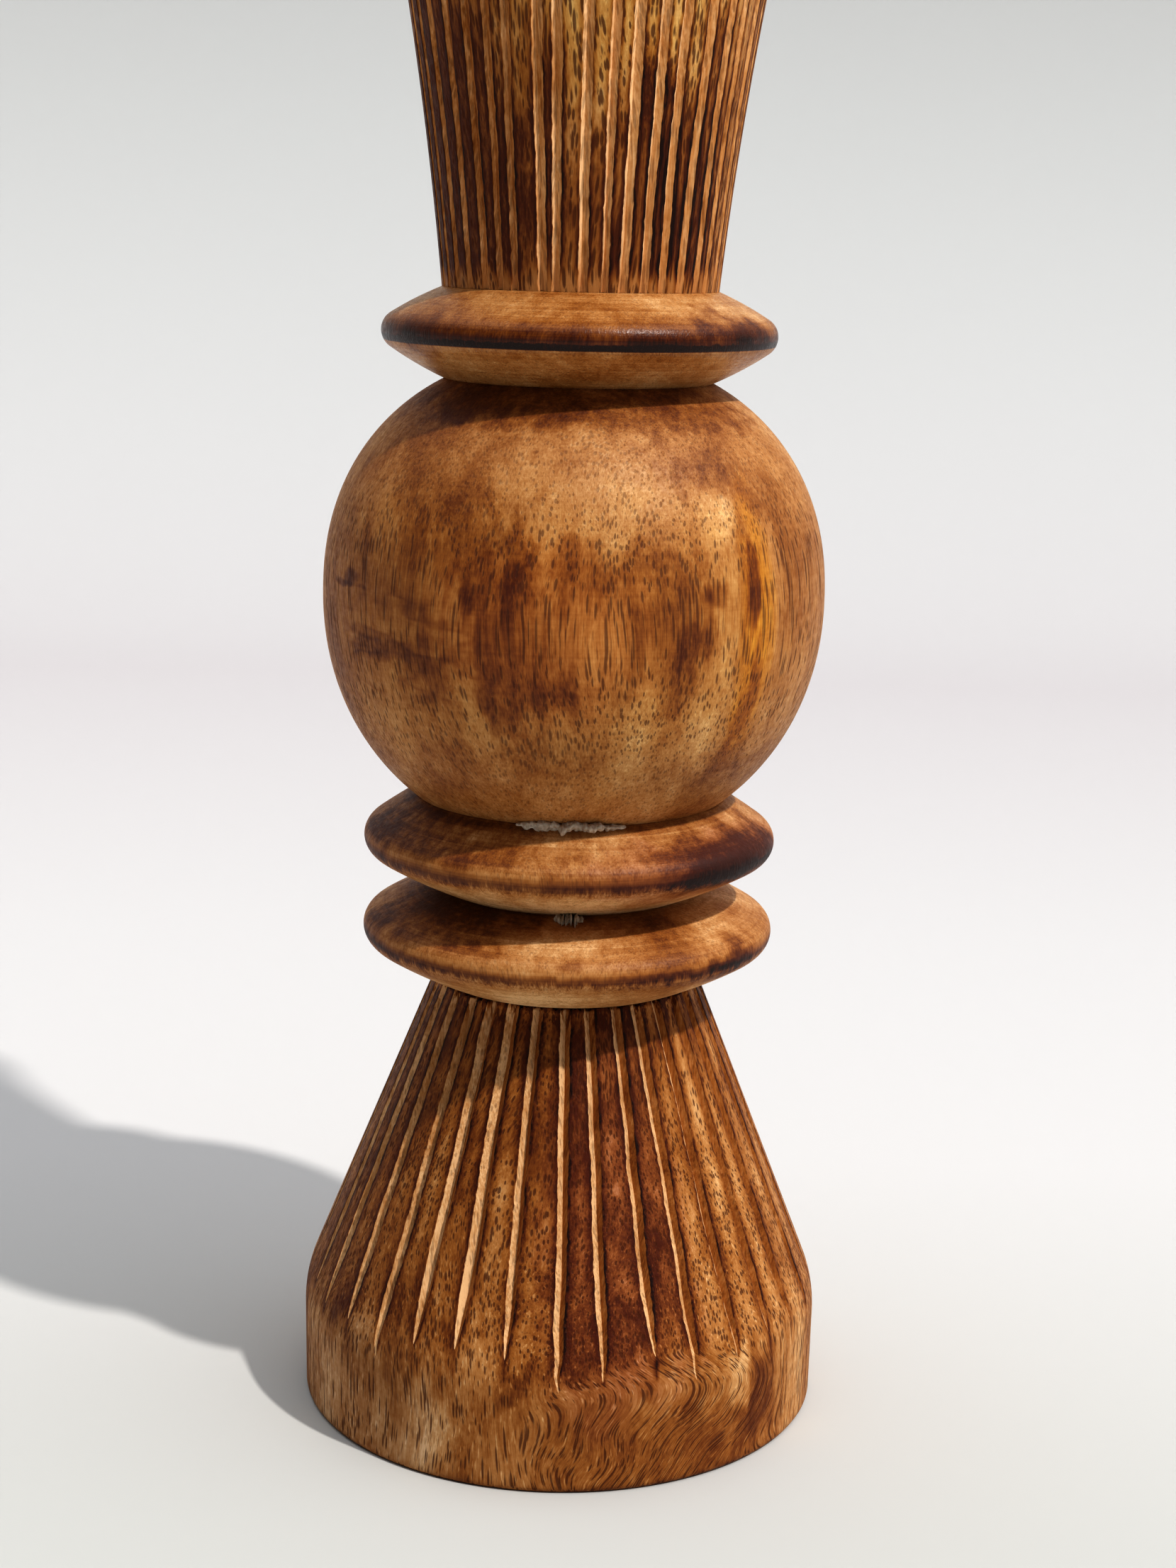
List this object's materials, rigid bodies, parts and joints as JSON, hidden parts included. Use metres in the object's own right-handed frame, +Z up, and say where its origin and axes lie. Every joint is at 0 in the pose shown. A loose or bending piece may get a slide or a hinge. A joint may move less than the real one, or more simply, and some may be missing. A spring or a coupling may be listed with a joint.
{
  "type": "giant chess piece",
  "caption": "Tall free-standing wooden chess queen: fluted conical base, stacked lens-shaped discs, a large ball, a collar and a fluted flared coronet with a small ball on top.",
  "frame": {"origin": "centre of the flat foot, on the surface that the piece stands on", "axes": "+Z up along the turning axis, -Y towards the viewer's side, +X to the viewer's right"},
  "size_m": [0.1003, 0.1004, 0.4],
  "materials": {
    "carved_wood": "satin, scorched lands and raw grooves",
    "disc_wood": "satin, scorched rim",
    "ball_wood": "satin",
    "dowel_wood": "plain, unfinished",
    "felt": "felt",
    "glue": "dried white glue"
  },
  "bodies": {
    "root": {"fluted_base": "carved_wood", "base_felt": "felt", "lower_disc": "disc_wood", "middle_disc": "disc_wood", "ball": "ball_wood", "collar_disc": "disc_wood", "fluted_coronet": "carved_wood", "crown_dome": "ball_wood", "finial_disc": "disc_wood", "finial_ball": "ball_wood", "lower_dowel": "dowel_wood", "upper_dowel": "dowel_wood", "crown_dowel": "dowel_wood", "finial_dowel": "dowel_wood", "ball_joint_glue": "glue", "disc_joint_glue": "glue"}
  },
  "joints": []
}
